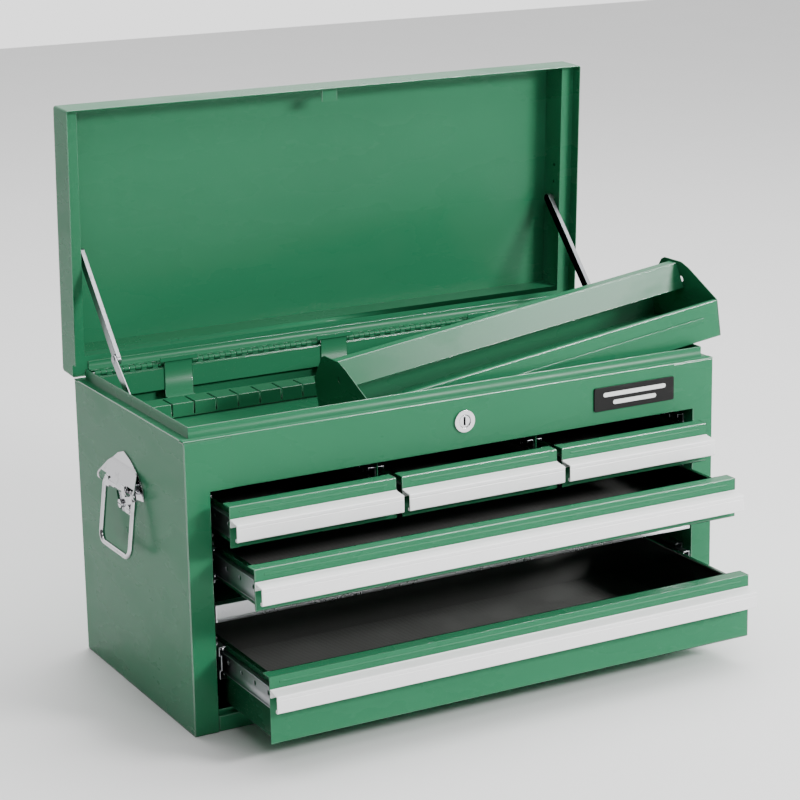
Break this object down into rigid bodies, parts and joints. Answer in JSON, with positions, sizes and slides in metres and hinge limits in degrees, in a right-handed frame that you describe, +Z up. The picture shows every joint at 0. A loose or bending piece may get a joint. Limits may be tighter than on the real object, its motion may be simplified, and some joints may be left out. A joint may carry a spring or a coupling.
{
  "type": "metal tool box",
  "caption": "Steel tool chest with hinged stay-held lid, lift-out tray, slotted rack, drawers on ball slides, side bail handles and a lock.",
  "frame": {"origin": "centre of the cabinet's flat bottom face", "axes": "+Z up, drawers open toward -Y, +X to the right seen from the front"},
  "size_m": [0.7069, 0.4814, 0.6292],
  "materials": {
    "green_paint": "glossy green enamel on pressed steel sheet",
    "aluminium_pull": "satin bright extrusion",
    "zinc_steel": "zinc-plated rolled steel",
    "slide_steel": "dark bright-zinc roll-formed slide steel",
    "chrome": "bright plated",
    "black_liner": "ribbed black drawer mat",
    "black_plate": "semi-gloss black plate"
  },
  "bodies": {
    "cabinet": {"back_panel": "green_paint", "bottom_panel": "green_paint", "cabinet_rails": "slide_steel", "compartment_floor": "green_paint", "cross_rail": "zinc_steel", "front_top_panel": "green_paint", "handle_brackets": "chrome", "handle_screws": "chrome", "hinge_fixed_leaf": "green_paint", "hinge_pin": "zinc_steel", "inner_walls": "green_paint", "left_side_panel": "green_paint", "lock_housing": "chrome", "nameplate": "black_plate", "rack_straps": "green_paint", "right_side_panel": "green_paint", "stay_cabinet_studs": "zinc_steel", "tool_rack": "green_paint"},
    "lid": {"lid_shell": "green_paint", "lid_inner_frame": "green_paint", "lock_strike": "green_paint", "hinge_moving_leaf": "green_paint", "stay_lid_pins": "zinc_steel"},
    "left_stay_upper": {"left_stay_upper_link": "slide_steel"},
    "left_stay_lower": {"left_stay_lower_link": "slide_steel"},
    "right_stay_upper": {"right_stay_upper_link": "slide_steel"},
    "right_stay_lower": {"right_stay_lower_link": "slide_steel"},
    "left_drawer": {"left_drawer_body": "green_paint", "left_drawer_pull": "aluminium_pull", "left_drawer_liner": "black_liner", "left_drawer_rails": "slide_steel"},
    "left_middle_rails": {"left_drawer_middle_rails": "slide_steel"},
    "middle_drawer": {"middle_drawer_body": "green_paint", "middle_drawer_pull": "aluminium_pull", "middle_drawer_liner": "black_liner", "middle_drawer_rails": "slide_steel"},
    "middle_middle_rails": {"middle_drawer_middle_rails": "slide_steel"},
    "right_drawer": {"right_drawer_body": "green_paint", "right_drawer_pull": "aluminium_pull", "right_drawer_liner": "black_liner", "right_drawer_rails": "slide_steel"},
    "right_middle_rails": {"right_drawer_middle_rails": "slide_steel"},
    "wide_drawer": {"wide_drawer_body": "green_paint", "wide_drawer_pull": "aluminium_pull", "wide_drawer_liner": "black_liner", "wide_drawer_rails": "slide_steel"},
    "wide_middle_rails": {"wide_drawer_middle_rails": "slide_steel"},
    "deep_drawer": {"deep_drawer_body": "green_paint", "deep_drawer_pull": "aluminium_pull", "deep_drawer_liner": "black_liner", "deep_drawer_rails": "slide_steel"},
    "deep_middle_rails": {"deep_drawer_middle_rails": "slide_steel"},
    "tray_peg": {"tray_peg": "zinc_steel"},
    "tray": {"tray_pan": "green_paint", "tray_end_plates": "green_paint", "tray_handle": "green_paint"},
    "lock": {"lock_plug": "chrome", "lock_cam": "zinc_steel"},
    "left_bail": {"left_handle_bail": "chrome"},
    "right_bail": {"right_handle_bail": "chrome"}
  },
  "joints": [
    {"name": "lid_hinge", "type": "hinge", "parent": "cabinet", "child": "lid", "pos_m": [0, 0.1465, 0.3265], "axis": [1, 0, 0], "range_deg": [0, 87.4]},
    {"name": "left_stay_lid_pivot", "type": "hinge", "parent": "lid", "child": "left_stay_upper", "pos_m": [0, 0.167, 0.461], "axis": [1, 0, 0], "range_deg": [-114, 0]},
    {"name": "left_stay_cabinet_pivot", "type": "hinge", "parent": "cabinet", "child": "left_stay_lower", "pos_m": [0, -0.01, 0.288], "axis": [1, 0, 0], "range_deg": [0, 131.1]},
    {"name": "right_stay_lid_pivot", "type": "hinge", "parent": "lid", "child": "right_stay_upper", "pos_m": [0, 0.167, 0.461], "axis": [1, 0, 0], "range_deg": [-114, 0]},
    {"name": "right_stay_cabinet_pivot", "type": "hinge", "parent": "cabinet", "child": "right_stay_lower", "pos_m": [0, -0.01, 0.288], "axis": [1, 0, 0], "range_deg": [0, 131.1]},
    {"name": "tray_lift", "type": "hinge", "parent": "cabinet", "child": "tray_peg", "pos_m": [0.24084, 0, 0.19853], "axis": [0, -1, 0], "range_deg": [0, 71.1]},
    {"name": "tray_turn", "type": "hinge", "parent": "tray_peg", "child": "tray", "pos_m": [0.29727, 0.005, 0.35358], "axis": [0, -1, 0], "range_deg": [-78.5, 0]},
    {"name": "left_drawer_slide", "type": "slide", "parent": "left_middle_rails", "child": "left_drawer", "axis": [0, -1, 0], "range_m": [-0.01725, 0.09775]},
    {"name": "middle_drawer_slide", "type": "slide", "parent": "middle_middle_rails", "child": "middle_drawer", "axis": [0, -1, 0], "range_m": [-0.01725, 0.09775]},
    {"name": "right_drawer_slide", "type": "slide", "parent": "right_middle_rails", "child": "right_drawer", "axis": [0, -1, 0], "range_m": [-0.01725, 0.09775]},
    {"name": "wide_drawer_slide", "type": "slide", "parent": "wide_middle_rails", "child": "wide_drawer", "axis": [0, -1, 0], "range_m": [-0.0451, 0.0699]},
    {"name": "deep_drawer_slide", "type": "slide", "parent": "deep_middle_rails", "child": "deep_drawer", "axis": [0, -1, 0], "range_m": [-0.05895, 0.05605]},
    {"name": "left_middle_rail_slide", "type": "slide", "parent": "cabinet", "child": "left_middle_rails", "axis": [0, -1, 0], "range_m": [-0.01725, 0.09775]},
    {"name": "middle_middle_rail_slide", "type": "slide", "parent": "cabinet", "child": "middle_middle_rails", "axis": [0, -1, 0], "range_m": [-0.01725, 0.09775]},
    {"name": "right_middle_rail_slide", "type": "slide", "parent": "cabinet", "child": "right_middle_rails", "axis": [0, -1, 0], "range_m": [-0.01725, 0.09775]},
    {"name": "wide_middle_rail_slide", "type": "slide", "parent": "cabinet", "child": "wide_middle_rails", "axis": [0, -1, 0], "range_m": [-0.0451, 0.0699]},
    {"name": "deep_middle_rail_slide", "type": "slide", "parent": "cabinet", "child": "deep_middle_rails", "axis": [0, -1, 0], "range_m": [-0.05895, 0.05605]},
    {"name": "lock_turn", "type": "hinge", "parent": "cabinet", "child": "lock", "pos_m": [0, -0.153, 0.2955], "axis": [0, 1, 0], "range_deg": [0, 90]},
    {"name": "left_bail_swing", "type": "hinge", "parent": "cabinet", "child": "left_bail", "pos_m": [-0.3375, 0.009, 0.236], "axis": [0, 1, 0], "range_deg": [-6, 84]},
    {"name": "right_bail_swing", "type": "hinge", "parent": "cabinet", "child": "right_bail", "pos_m": [0.3375, 0.009, 0.236], "axis": [0, -1, 0], "range_deg": [-6, 84]}
  ],
  "couplings": [
    {"joint": "left_stay_lid_pivot", "follows": "lid_hinge", "ratio": -1.3043},
    {"joint": "left_stay_cabinet_pivot", "follows": "lid_hinge", "ratio": 1.5},
    {"joint": "right_stay_lid_pivot", "follows": "lid_hinge", "ratio": -1.3043},
    {"joint": "right_stay_cabinet_pivot", "follows": "lid_hinge", "ratio": 1.5},
    {"joint": "tray_lift", "follows": "lid_hinge", "ratio": 0.8135},
    {"joint": "tray_turn", "follows": "lid_hinge", "ratio": -0.89817},
    {"joint": "left_middle_rail_slide", "follows": "left_drawer_slide", "ratio": 1},
    {"joint": "middle_middle_rail_slide", "follows": "middle_drawer_slide", "ratio": 1},
    {"joint": "right_middle_rail_slide", "follows": "right_drawer_slide", "ratio": 1},
    {"joint": "wide_middle_rail_slide", "follows": "wide_drawer_slide", "ratio": 1},
    {"joint": "deep_middle_rail_slide", "follows": "deep_drawer_slide", "ratio": 1}
  ]
}
